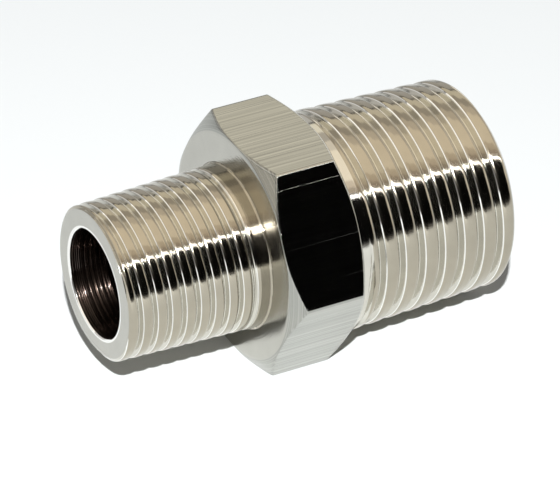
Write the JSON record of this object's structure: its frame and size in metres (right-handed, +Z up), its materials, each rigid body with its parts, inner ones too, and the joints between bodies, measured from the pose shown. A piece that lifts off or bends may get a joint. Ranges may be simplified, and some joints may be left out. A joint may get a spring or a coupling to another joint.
{
  "type": "hex nipple",
  "caption": "Reducing male hex nipple: a spanner hexagon between a smaller and a larger tapered male pipe thread, with a straight bore through all of it.",
  "frame": {"origin": "on the thread and bore axis, at the middle of the hexagon", "axes": "+X along the bore, from the small thread towards the large thread; +Z up, square to the top hexagon flat; -X is the small end"},
  "size_m": [0.0245, 0.0162, 0.014],
  "materials": {
    "turned_nickel": "bright nickel plate over turned brass, with fine turning marks",
    "drawn_nickel": "bright nickel plate over drawn hexagon bar, with fine drawing lines along the bar"
  },
  "bodies": {
    "root": {"small_male_thread": "turned_nickel", "spanner_hexagon": "drawn_nickel", "large_male_thread": "turned_nickel"}
  },
  "joints": []
}
